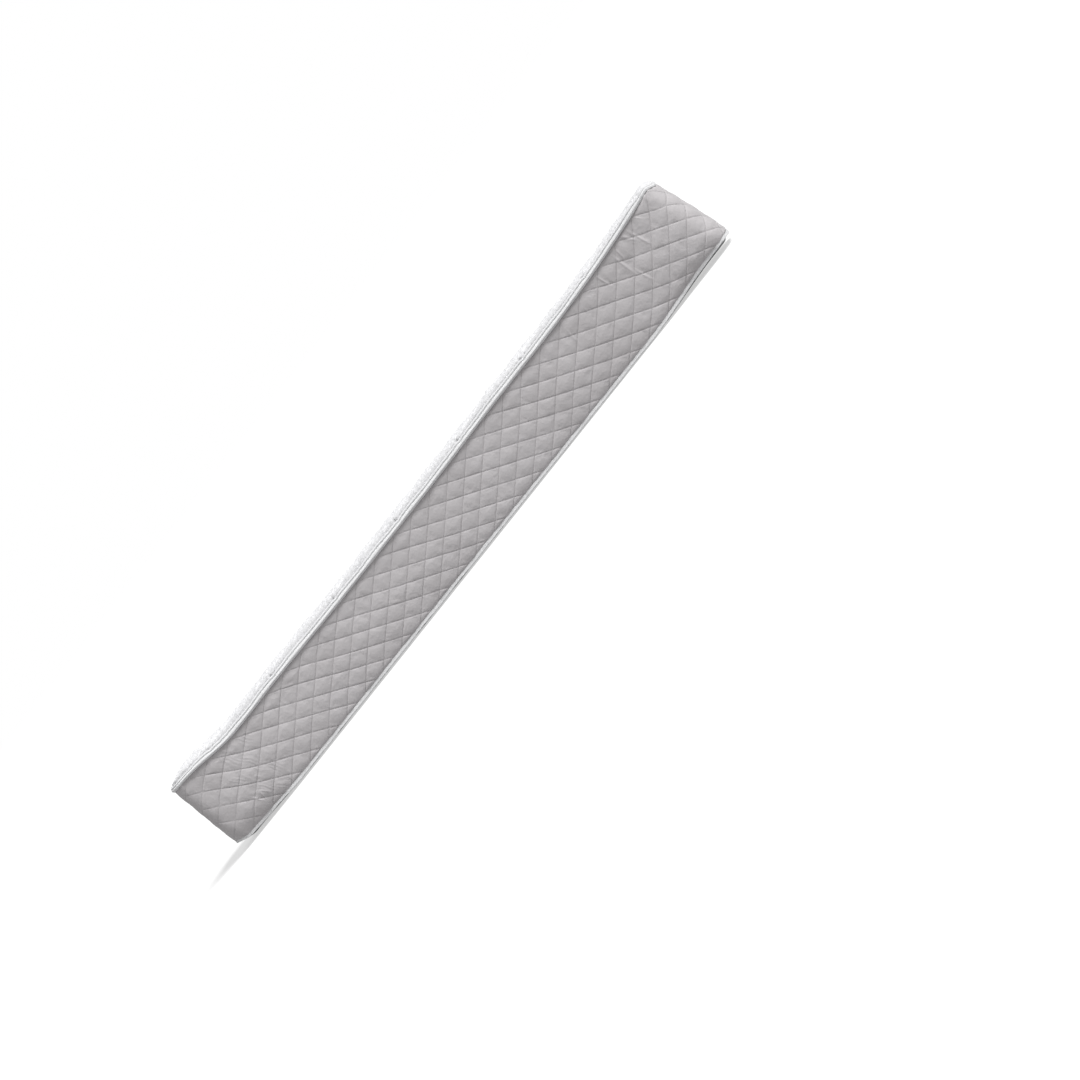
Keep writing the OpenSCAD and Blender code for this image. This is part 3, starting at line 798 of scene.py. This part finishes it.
def panel_xy(l, q, inset):
    """x and y on a panel, l along it and q from -1 to 1 across; the corners are quarter circles, followed
    by l. Also gives the x at which the seams are read."""
    r, a, side = CORNER - inset, np.abs(l), np.where(l < 0, -1.0, 1.0)
    turn = np.clip((a - HALF_X) / r, 0, math.pi / 2)
    cx = np.minimum(a, HALF_X)
    return side * (cx + r * np.sin(turn)), q * (HALF_Y + r * np.cos(turn)), side * cx


def top_place(l, y, n):
    """Sets out a flat panel point on the bar: y is across, in metres of the full width, and n up from the
    seam. Just over the tapes the pile leans out."""
    x, across, cx = panel_xy(l, y / TOP_W, TOP_INSET)
    lean = 0.006 * np.exp(-((n - 0.0125) / 0.004) ** 2) * eased((np.abs(y) - 0.04) / 0.02)
    return bent(np.stack([x, across + np.sign(y) * lean, top_seam(cx) + n], -1))


def crown(l, y):
    """The panel's rise over its seams: none at its edges, quick beside them and flat in the middle. Both
    ends are lower, and the right one falls away slowly."""
    side_part = 1 - np.abs(y / TOP_W) ** 14
    right_fall = np.clip((l - 0.86) / (TOP_REACH - 0.86), 0, 1) ** 1.5
    left_fall = np.clip((-l - 0.80) / (TOP_REACH - 0.80), 0, 1) ** 3.5
    height = 0.0175 - 0.003 * eased(l / 0.3) - 0.0045 * eased((l - 0.45) / 0.4)
    height = height - 0.002 * eased((l - 0.84) / 0.08) - 0.0045 * eased((-l - 0.75) / 0.15)
    return height * side_part * (1 - np.where(l > 0, right_fall, left_fall))


def tucks(l, y):
    """Short slanting creases where the quilting meets the long edges: a narrow valley with a low ridge to
    its left, which moves left as it climbs from the edge and fades 40 mm in."""
    inwards = TOP_W - np.abs(y)
    slant = TUCK_STEP * (1 - np.exp(-inwards / TUCK_CURVE)) + TUCK_TILT * inwards
    off = (l - TOP_ZERO + slant + TOP_L / 2) % TOP_L - TOP_L / 2
    depth = 0.0032 * np.exp(-((off + 0.008) / 0.005) ** 2) - 0.0085 * np.exp(-(off / TUCK_WIDTH) ** 2)
    return depth * np.clip(inwards / 0.006, 0, 1) * (1 - eased(inwards / 0.04))


def doubled(grid):
    """A grid with a point between each two, on both axes: 9/16 of the two next to it less 1/16 of the two
    beyond."""
    for axis in (0, 1):
        g = np.moveaxis(grid, axis, 0)
        wide = np.concatenate([2 * g[:1] - g[1:2], g, 2 * g[-1:] - g[-2:-1]])
        mid = (9 * (wide[1:-2] + wide[2:-1]) - wide[:-3] - wide[3:]) / 16
        both = np.empty((2 * len(g) - 1, *g.shape[1:]))
        both[0::2], both[1::2] = g, mid
        grid = np.moveaxis(both, 0, axis)
    return grid


# %% Settle the top
TOP_CELL = 48
l, li = steps(-TOP_REACH, TOP_REACH, TOP_ZERO, TOP_L / TOP_CELL)
yi = np.arange(TOP_CELL // 2 + 1)
L, Y = np.meshgrid(l, np.linspace(-TOP_W, TOP_W, len(yi)), indexing="ij")
LI, YI = np.meshgrid(li, yi, indexing="ij")
diamonds, share_across = (L - TOP_ZERO) / TOP_L, (Y / TOP_W + 1) / 2
top_lattice = np.stack([diamonds + share_across, diamonds - share_across], -1)
pillow = np.abs(np.prod(np.sin(math.pi * top_lattice), -1)) ** 0.35
sewn = sewn_points(LI, 2 * YI, TOP_CELL)
edge = np.minimum(TOP_W - np.abs(Y), TOP_REACH - np.abs(L))
puffed = 0.005 * pillow * np.clip(0.4 + edge / 0.02, 0, 1) * (1 - 0.5 * eased((L - 0.6) / 0.3))
flat = np.stack([L, Y, np.where(sewn, 0, puffed)], -1)
top_maps = {"lattice": doubled(top_lattice), "metres": doubled(flat[..., :2])}
soft = settle(flat, sewn, spare=0.006, push=1.5, bend=1.0, frames=8)
rng = np.random.default_rng(41)
soft[..., 2] += 0.0010 * rng.standard_normal(L.shape) * np.clip(edge / 0.01, 0, 1)
soft = doubled(soft)
L, Y = soft[..., 0], np.clip(soft[..., 1], -TOP_W, TOP_W)
tuft = 0.0004 * rng.standard_normal(L.shape)
N = soft[..., 2] + crown(L, Y) + tucks(L, Y) + tuft
print("crown %.1f mm over the seam" % (1000 * N.max()))

# %% [markdown]
# ## The pile
# The pile is white and curly. Along the long edges and in the tucks, where it is pressed, its colour is
# darkened a little: painted shade, for the shade that falls there. A painted mask could say where, but the
# tucks' own formula already knows.

# %% Pile finish
TOP_GAP = TOP_L * 2 * TOP_W / math.hypot(TOP_L, 2 * TOP_W)
TOP_STITCHES = 36
# EDGE_SHADE and TUCK_SHADE set how dark the painted shade is at the pile's edges and in its tucks.
EDGE_SHADE, TUCK_SHADE = 0.82, 0.32


def pile_height(tree):
    """Height of a short curly pile: coarse and fine noise, pressed down along the sewing thread."""
    sewn_line = maths(tree, "MULTIPLY", thread_lines(tree, TOP_GAP, TOP_STITCHES), 0.5)
    fine = maths(tree, "MULTIPLY", speckle(tree, 1300.0, 2.0), 0.3)
    return maths(tree, "ADD", speckle(tree, 230.0, 3.0), fine, sewn_line)


def painted_pile_shade(tree):
    """Painted shade for the pile's colour: 1 over the panel, and less along its long edges and in the tucks,
    where the pile is pressed and shade falls; the tucks' place is worked out as in tucks()."""
    u, v = along_across(tree, "metres")
    inwards = maths(tree, "SUBTRACT", TOP_W, maths(tree, "ABSOLUTE", v))
    edge = ranged(tree, inwards, 0.006, 0.022, EDGE_SHADE, 1.0)
    close = maths(tree, "POWER", math.e, maths(tree, "DIVIDE", inwards, -TUCK_CURVE))
    step = maths(tree, "MULTIPLY", maths(tree, "SUBTRACT", 1.0, close), TUCK_STEP)
    slant = maths(tree, "ADD", step, maths(tree, "MULTIPLY", inwards, TUCK_TILT))
    along = maths(tree, "ADD", maths(tree, "SUBTRACT", u, TOP_ZERO), slant)
    nearest = joined(tree, "ShaderNodeMath", "WRAP", s0=along, s1=TOP_L / 2, s2=-TOP_L / 2).outputs[0]
    off = maths(tree, "DIVIDE", nearest, TUCK_WIDTH)
    line = maths(tree, "POWER", math.e, maths(tree, "MULTIPLY", off, off, -1.0))
    fade = ranged(tree, inwards, 0.006, 0.036, TUCK_SHADE, 0.0)
    return maths(tree, "SUBTRACT", edge, maths(tree, "MULTIPLY", line, fade))


# The pile's colour is multiplied by painted shade along its long edges and in the tucks.
pile = cloth_finish("white_pile", (0.76, 0.76, 0.775), (0.94, 0.94, 0.955), roughness=0.95, sheen=0.3,
                    height=pile_height, depth=0.0016, tint_scale=170.0, shade=painted_pile_shade)
top = slab("top_cover", top_place(L, Y, N), top_place(L, Y, N - CLOTH), top_maps, pile, "panel_fabric",
           "top_cloth")
layers("top", top_place, L, Y, N)

# %% [markdown]
# ## The bottom panel
# Below, a plain cloth closes the cover. It could be simulated too, but it is seldom seen. It rests on the
# bed, so it is flat in the middle and curves up to its seam all round, with small puckers on that slope;
# where the bar's ends lift, it lifts with them. It is written as a height over the panel's own grid.

# %% Bottom panel
plain_weave = cloth_finish("plain_white_cloth", (0.70, 0.70, 0.70), (0.76, 0.76, 0.76),
                           roughness=0.9, sheen=0.1, depth=0.0001,
                           height=lambda tree: weave(tree, "metres", 0.0009))
UNDER_INSET, UNDER_W, UNDER_SLOPE = 0.0123, 0.0677, 0.036
UNDER_REACH = HALF_X + (CORNER - UNDER_INSET) * math.pi / 2
l = np.linspace(-UNDER_REACH, UNDER_REACH, 401)
y = np.linspace(UNDER_W, -UNDER_W, 41)
L, Y = np.meshgrid(l, y, indexing="ij")
x, across, cx = panel_xy(L, Y / UNDER_W, UNDER_INSET)
inside = np.minimum(UNDER_W - np.abs(Y), UNDER_REACH - np.abs(L))
rise = np.clip(1 - inside / UNDER_SLOPE, 0, 1) ** 1.7
seam = bottom_seam(cx)
resting = 0.85 * (seam - bottom_seam(0.0))
puckers = 0.0005 * drift(L, 0.03, 51) * rise * (1 - rise) * 4
ground = np.maximum(resting + (seam - resting) * rise + puckers, 0)


def under(name, low, high, material, slot, node):
    """A layer of the bottom panel between two grids of heights, low facing down."""
    outer, inner = (bent(np.stack([x, across, z], -1)) for z in (low, high))
    return slab(name, outer, inner, {"metres": np.stack([L, Y], -1)}, material, slot, node)


under_cloth = under("bottom_cover", ground, ground + CLOTH, plain_weave, "panel_fabric", "bottom_cloth")
under_fill = under("bottom_fill", ground + 0.0012, seam + PAD_FOOT, fibre, "wadding", "bottom_wadding")
under_lining = under("bottom_backing", seam + LINING_OUT, seam + LINING_IN, backing, "lining",
                     "bottom_lining")

# %% [markdown]
# ## Edge tapes
# A folded tape covers the raw edges of both seams, all round. A bevelled curve could carry a section, but
# it could not be drawn in at the tucks and the corners. So the closed section is carried along the outline
# by formula: a lip that overlaps the border, a round fold, a groove where it is sewn, and a lip over the
# panel. The fold wanders and gathers a little, as sewn tape does, so each ring is shifted by a smooth
# seeded drift.

# %% Tape section
TOP_SECTION = 0.001 * np.array([
    (-3.2, -6.2), (1.0, -6.4), (2.0, -7.0), (3.6, -6.6), (5.3, -5.4), (6.9, -3.8), (7.8, -2.2), (7.9, -0.9),
    (7.2, 0.5), (5.9, 1.9), (4.3, 3.1), (2.8, 3.9), (1.6, 4.4), (1.0, 4.8), (1.7, 5.5), (2.3, 6.5),
    (2.4, 7.7), (1.8, 9.0), (0.6, 9.8), (-1.2, 10.2), (-5.0, 10.5), (-9.0, 10.4), (-12.2, 9.4), (-13.6, 7.4),
    (-13.2, 5.6), (-11.8, 4.6), (-11.6, -3.0), (-3.2, -3.0)])
BOTTOM_SECTION = 0.001 * np.array([
    (-3.2, -5.8), (1.6, -5.9), (2.2, -6.6), (3.0, -6.3), (3.4, -5.2), (3.7, -3.8), (4.1, -2.2), (4.5, -0.6),
    (4.6, 0.8), (4.3, 2.0), (3.3, 2.7), (1.5, 2.9), (-4.0, 2.9), (-9.0, 2.9), (-12.0, 2.4), (-13.0, 1.6),
    (-12.9, 0.9), (-11.8, 0.3), (-11.7, -2.9), (-3.2, -2.9)])


def closed_spline(points, parts):
    """Smooth closed curve through points: between two of them, a cubic whose slopes come from the points
    beside."""
    u = np.arange(parts)[:, None] / parts
    before, here, then, after = (np.roll(points, k, 0)[:, None, :] for k in (1, 0, -1, -2))
    curve = 0.5 * (2 * here + (then - before) * u + (2 * before - 5 * here + 4 * then - after) * u ** 2
                   + (3 * here - before - 3 * then + after) * u ** 3)
    return curve.reshape(-1, 2)


def tape_point(s, n, z, seam, turn):
    """Sets out a tape point: s round the whole bar, n out from the border, and z away from it over the
    seam. The tape is drawn in and thinner round the ends, and pinched down at the top's tucks."""
    before_back = eased((BACK_START + 0.03 - np.abs(s)) / 0.06)
    wander = 0.0006 * drift(s, 0.11, 61) + 0.0002 * drift(s, 0.013, 62)
    drawn = 1 - 0.45 * eased((np.abs(s) - 0.92) / 0.06) * before_back
    drawn = drawn * (1 - 0.35 * eased((s - 0.80) / 0.12) * before_back)
    x, y, cx = wrap(s, np.where(n > 0, n * drawn + wander, n))
    thin = (0.4 * eased((-s - 0.85) / 0.08) + 0.5 * eased((s - 0.90) / 0.07)) * before_back
    z = np.where(z > 0, z * (1 - thin), z)
    lift = 0.0009 * drift(s, 0.15, 63) + 0.0003 * drift(s, 0.017, 64)
    pinch = (s - TOP_ZERO + TOP_L / 2) % TOP_L - TOP_L / 2
    lift = lift - 0.0018 * np.exp(-(pinch / 0.007) ** 2) * (np.abs(s) < HALF_X) * eased(z / 0.006)
    return bent(np.stack([x, y, seam(cx) + turn * (z + lift * (z > 0))], -1))


# %% Tapes
TAPE_RINGS = 1180
tape_weave = cloth_finish("ribbed_tape", (0.83, 0.83, 0.84), (0.88, 0.88, 0.89),
                          roughness=0.8, sheen=0.2, depth=0.00015,
                          height=lambda tree: weave(tree, "metres", 0.0012))


def tape(name, seam, turn, points, node):
    """A tape all round the bar: its section, smoothed, carried along the outline at the height of a seam.
    turn is 1 where the tape folds upwards and -1 where it folds down."""
    section = closed_spline(points, 3)
    s = np.linspace(-HALF_ROUND, HALF_ROUND, TAPE_RINGS, endpoint=False)
    s_grid, k = np.meshgrid(s, np.arange(len(section)), indexing="ij")
    points = tape_point(s_grid, section[k, 0], section[k, 1], seam, turn)
    width = np.concatenate([[0], np.cumsum(np.hypot(*np.diff(section, axis=0).T))])
    faces = ring_faces(*s_grid.shape)
    maps = {"metres": np.stack([s_grid, width[k]], -1)}
    made = piece(name, points, faces[:, ::turn], maps, tape_weave, "tape_fabric", node)


tape("top_binding", top_seam, 1, TOP_SECTION, "top_edge_tape")
tape("bottom_binding", bottom_seam, -1, BOTTOM_SECTION, "bottom_edge_tape")

# %% [markdown]
# ## Stitches on the tapes
# One row of stitches holds each tape. On the border the thread is only drawn, but here it lies on top and
# catches the light, so each stitch is a short tube. An array modifier could repeat one stitch; a single
# array does it for all of them, and lets them follow the tape.

# %% Stitches on the tapes
thread = cloth_finish("white_thread", (0.74, 0.74, 0.75), (0.80, 0.80, 0.81),
                      roughness=0.6, sheen=0.1, depth=0.00005,
                      height=lambda tree: speckle(tree, 3000.0, 1.0))


def stitches(name, seam, turn, n, z, pitch=0.0042, length=0.0032, radius=0.00035):
    """A row of short threads: rings of five points that swell and shrink along each stitch, all stitches in
    one array."""
    count = round(2 * HALF_ROUND / pitch)
    start = -HALF_ROUND + np.arange(count) * pitch
    rings, sides = 5, 5
    share = np.arange(rings)[None, :, None] / (rings - 1)
    swell = np.sqrt(np.clip(1 - (2 * share - 1) ** 2, 0.04, 1))
    angle = 2 * math.pi * np.arange(sides) / sides
    s = start[:, None, None] + length * share + 0 * angle
    out = n + radius * swell * np.cos(angle) + 0 * s
    rise = z + radius * swell * np.sin(angle) + 0 * s
    points = tape_point(s, out, rise, seam, turn)
    k = np.arange(s.size).reshape(s.shape)
    a, b = k[:, :-1, :], k[:, 1:, :]
    faces = np.stack([a, b, np.roll(b, -1, 2), np.roll(a, -1, 2)], -1).reshape(-1, 4)
    piece(name, points, faces[:, ::-turn], {"metres": np.stack([s, out], -1)}, thread, "tape_fabric")


stitches("top_binding_stitches", top_seam, 1, n=0.0012, z=0.0048)
stitches("bottom_binding_stitches", bottom_seam, -1, n=0.0034, z=-0.0050)

# %% [markdown]
# ## The zip
# A nylon coil zip closes the back. Each side is one thread wound in flat turns on a woven tape. A curve
# with a screw modifier could wind it, but a tube carried along a flattened helix is one array and leaves no
# modifier.

# %% Zip tapes and coils
ZIP_HALF = 0.900
ZIP_TAPE_EDGES, ZIP_TAPE_THICK, ZIP_TAPE_IN = (0.0006, 0.0166), 0.0007, 0.00375
COIL_FROM_END, COIL_IN, COIL_OFF = 0.0042, 0.0025, 0.0021
COIL_DEEP, COIL_WIDE = 0.00075, 0.00105
zip_weave = cloth_finish("zip_webbing", (0.55, 0.54, 0.545), (0.61, 0.60, 0.605),
                         roughness=0.85, sheen=0.1, depth=0.00012,
                         height=lambda tree: weave(tree, "metres", 0.0008))
coil_nylon = cloth_finish("coil_nylon", (0.50, 0.49, 0.495), (0.57, 0.56, 0.565),
                          roughness=0.35, sheen=0.0, depth=0.00003,
                          height=lambda tree: speckle(tree, 900.0, 1.0))


def zip_tape(name, side, node):
    """A flat strip beside the slot with a faint ripple: side is 1 above the teeth and -1 below them."""
    s, t = np.meshgrid(np.linspace(-ZIP_HALF, ZIP_HALF, 601), np.linspace(*ZIP_TAPE_EDGES, 9), indexing="ij")
    ripple = 0.00008 * drift(s, 0.02, 71 + side)
    rows = np.stack([-s, BACK_Y - ZIP_TAPE_IN + ripple, ZIP_Z + side * t], -1)[:, ::side]
    uv = np.stack([s, t], -1)[:, ::side]
    under_rows = rows - np.array([0, ZIP_TAPE_THICK, 0])
    webbing = slab(name, rows, under_rows, {"metres": uv}, zip_weave, "zip_nylon", node)


def zip_coil(name, side, node, pitch=0.0018, around=10, sides=4, radius=0.00034):
    """A tube along a helix that runs along the zip; its turns are twice COIL_WIDE by twice COIL_DEEP to the
    thread's middle."""
    turns = int((2 * ZIP_HALF - 2 * COIL_FROM_END) / pitch)
    angle = 2 * math.pi * np.arange(turns * around) / around
    x = -ZIP_HALF + COIL_FROM_END + pitch * angle / (2 * math.pi)
    a, phi = np.meshgrid(angle, 2 * math.pi * (np.arange(sides) + 0.5) / sides, indexing="ij")
    deep, wide = COIL_DEEP + radius * np.cos(phi), COIL_WIDE + radius * np.cos(phi)
    points = np.stack([x[:, None] + radius * np.sin(phi), BACK_Y - COIL_IN + deep * np.sin(a),
                       ZIP_Z + side * (COIL_OFF + wide * np.cos(a))], -1)
    k = numbered(*a.shape)
    faces = np.stack([k[:-1], k[1:], np.roll(k[1:], -1, 1), np.roll(k[:-1], -1, 1)], -1).reshape(-1, 4)
    uv = np.stack([x[:, None] + 0 * a, a], -1)
    piece(name, points, faces[:, ::side], {"metres": uv}, coil_nylon, "zip_nylon", node)


for label, side in (("upper", 1), ("lower", -1)):
    zip_tape("zip_webbing_" + label, side, "zip_tape_" + label)
for label, side in (("upper", 1), ("lower", -1)):
    zip_coil("zip_coil_" + label, side, "zip_teeth_" + label)

# %% [markdown]
# ## Tabs at the ends of the zip
# Beyond the zip the slot is closed by two small patches of cloth, a little raised in the middle. They could
# be two pieces, but they are one kind of part, so both are put in one mesh.

# %% Tabs
TAB_HALF, TAB_OUT, TAB_RAISED, TAB_IN = 0.0063, 0.0016, 0.0014, 0.0034
TAB_ENDS = 0.9002, 0.9548


def end_tab(x0, x1):
    """A patch from x0 to x1, raised in the middle and falling with the sixth power of the distance from
    it."""
    s, t = np.meshgrid(np.linspace(x1, x0, 21), np.linspace(-TAB_HALF, TAB_HALF, 13), indexing="ij")
    soft_edge = (1 - np.abs(2 * (s - x0) / (x1 - x0) - 1) ** 6) * (1 - np.abs(t / TAB_HALF) ** 6)
    outer = np.stack([s, BACK_Y - TAB_OUT + TAB_RAISED * soft_edge, ZIP_Z + t], -1)
    inner = np.stack([s, BACK_Y - TAB_IN + 0 * s, ZIP_Z + t], -1)
    return outer, inner, np.stack([s, t], -1).reshape(-1, 2)


tabs = [end_tab(-TAB_ENDS[1], -TAB_ENDS[0]), end_tab(*TAB_ENDS)]
tab_points = 2 * len(tabs[0][2])
shells = [closed(outer, inner, tab_points * k) for k, (outer, inner, _) in enumerate(tabs)]
points, faces = (np.concatenate(part) for part in zip(*shells))
uv = np.concatenate([tab_uv for _, _, tab_uv in tabs for _ in range(2)])
tab_pair = piece("zip_tabs", points, faces, {"metres": uv}, zip_weave, "zip_nylon", "zip_end_tabs")

# %% [markdown]
# ## Slider, pull and stops
# The metal pieces of the zip keep their CAD shapes, because they are small and already exact. They get one
# finish: a brushed nickel whose colour and roughness vary a little.

# %% Slider, pull and stops
nickel = bpy.data.materials.new("brushed_nickel")
nickel.use_nodes = True
tree = nickel.node_tree
shader = tree.nodes["Principled BSDF"]
shader.inputs["Metallic"].default_value = 1.0
colour = blend_colours(tree, speckle(tree, 300.0), (0.58, 0.57, 0.55), (0.70, 0.69, 0.67))
grain = joined(tree, "ShaderNodeBump", Strength=0.4, Distance=0.00004, Height=speckle(tree, 2500.0))
tree.links.new(colour, shader.inputs["Base Color"])
tree.links.new(ranged(tree, speckle(tree, 1500.0), 0.0, 1.0, 0.22, 0.42), shader.inputs["Roughness"])
tree.links.new(grain.outputs[0], shader.inputs["Normal"])
for name in ("zip_slider", "zip_pull", "zip_stops"):
    metal_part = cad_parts[name]
    metal_part.data.materials.clear()
    metal_part.data.materials.append(nickel)
    print("%s: CAD shape in nickel" % name)

# %% [markdown]
# ## The foam core
# The core is a block of open foam with round corners and a shallow channel for the zip. A cube with bevels
# and a Boolean cut could make it, but it has to follow the same bent outline as the cover. So its wall is a
# ring of upright rows, pressed in at the back along the channel, and its two lids close to the middle line.

# %% Foam
FOAM_IN, CHANNEL_HALF, CHANNEL_DEEP, CHANNEL_STEP = 0.0036, 0.0176, 0.0034, 0.0002
open_foam = cloth_finish("open_foam", (0.72, 0.60, 0.30), (0.80, 0.69, 0.40),
                         roughness=0.95, sheen=0.0, depth=0.0006,
                         height=lambda tree: speckle(tree, 700.0, 5.0))
s = np.linspace(-HALF_ROUND, HALF_ROUND, 1000, endpoint=False)
x0, y0, cx = wrap(s, -FOAM_IN)
low, high = bottom_seam(cx) + FOAM_IN, top_seam(cx) - FOAM_IN
channel_low, channel_high = 0 * s + ZIP_Z - CHANNEL_HALF, 0 * s + ZIP_Z + CHANNEL_HALF
dip = np.where((y0 > 0.07) & (np.abs(x0) < ZIP_HALF + 0.002), CHANNEL_DEEP, 0)


def wall(z, pressed_in=0):
    """A ring of the wall at heights z, pressed in from the outline."""
    return np.stack([x0, y0 - pressed_in, z], -1)


def lid(z, share):
    """A ring of the lid: the outline drawn in by a share towards the middle line."""
    return np.stack([cx + (x0 - cx) * share, y0 * share, z], -1)


rows = [wall(low), wall(channel_low - CHANNEL_STEP), wall(channel_low, dip), wall(channel_high, dip),
        wall(channel_high + CHANNEL_STEP), wall(high)]
rings = [lid(low, w) for w in (0.0, 0.5, 0.97)] + rows + [lid(high, w) for w in (0.97, 0.5, 0.0)]
points = bent(np.stack(rings, 1))
a = numbered(*points.shape[:2])
b = np.roll(a, -1, 0)
faces = np.stack([a[:, :-1], b[:, :-1], b[:, 1:], a[:, 1:]], -1).reshape(-1, 4)
core = piece("foam_block", points, faces, {}, open_foam, "foam", "foam_core")
shell = bmesh.new()
shell.from_mesh(core.data)
bmesh.ops.remove_doubles(shell, verts=shell.verts, dist=0.00002)
bmesh.ops.dissolve_degenerate(shell, dist=0.00001, edges=shell.edges)
shell.to_mesh(core.data)
shell.free()
core.data.polygons.foreach_set("use_smooth", np.zeros(len(core.data.polygons), bool))
